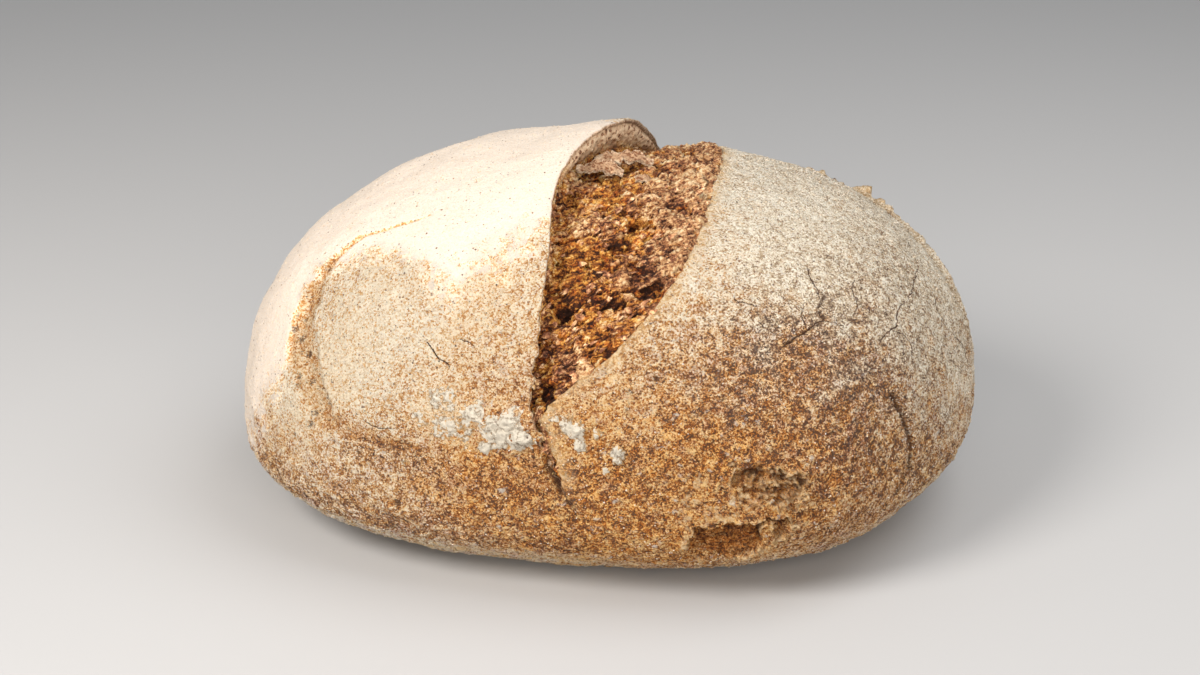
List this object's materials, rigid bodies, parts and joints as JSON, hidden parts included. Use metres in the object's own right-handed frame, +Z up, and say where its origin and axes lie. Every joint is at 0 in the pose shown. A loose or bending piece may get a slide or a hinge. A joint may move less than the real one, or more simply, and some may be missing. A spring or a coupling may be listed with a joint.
{
  "type": "spelt bread loaf",
  "caption": "Oval free-form hearth loaf with a floured crust, a wide burst with a raised ear across its crown, and a flat base that it rests on.",
  "frame": {"origin": "middle of the bounding box's base, on the table under the loaf", "axes": "+X along the loaf, from the ear's side towards the plain side; +Y from the front, where the burst runs out and the torn patch is, to the back; +Z up"},
  "size_m": [0.2395, 0.1808, 0.1225],
  "materials": {
    "floured_crust": null
  },
  "bodies": {
    "root": {"loaf": "floured_crust"}
  },
  "joints": []
}
